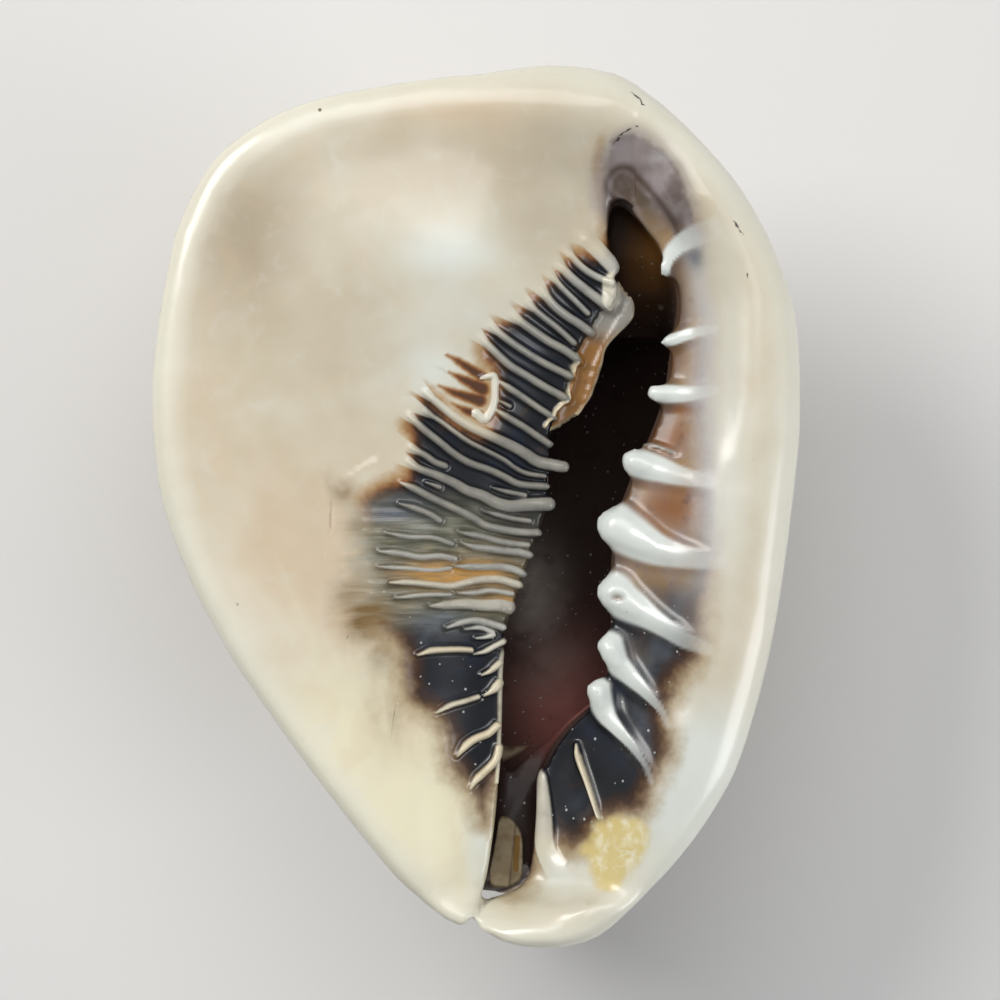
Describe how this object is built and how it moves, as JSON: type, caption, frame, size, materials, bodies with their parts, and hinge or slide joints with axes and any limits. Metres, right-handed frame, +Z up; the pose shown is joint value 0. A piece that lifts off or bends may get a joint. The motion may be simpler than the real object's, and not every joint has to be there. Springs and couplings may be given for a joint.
{
  "type": "king helmet seashell",
  "caption": "Large king helmet seashell lying on its back with its mouth up: toothed lip, ridged shield, bare paper slip in the canal.",
  "frame": {"origin": "on the surface that the shell rests on, under the middle of its outline", "axes": "+Z up, out of the mouth; +Y towards the spire; +X towards the outer lip"},
  "size_m": [0.147, 0.2, 0.1035],
  "materials": {
    "shell": "glossy cream callus, with dark brown to blue-black stain between the teeth and ridges of the mouth",
    "old_paper": "aged tan paper, matt, bare"
  },
  "bodies": {
    "root": {"shell": "shell", "paper_label": "old_paper"}
  },
  "joints": []
}
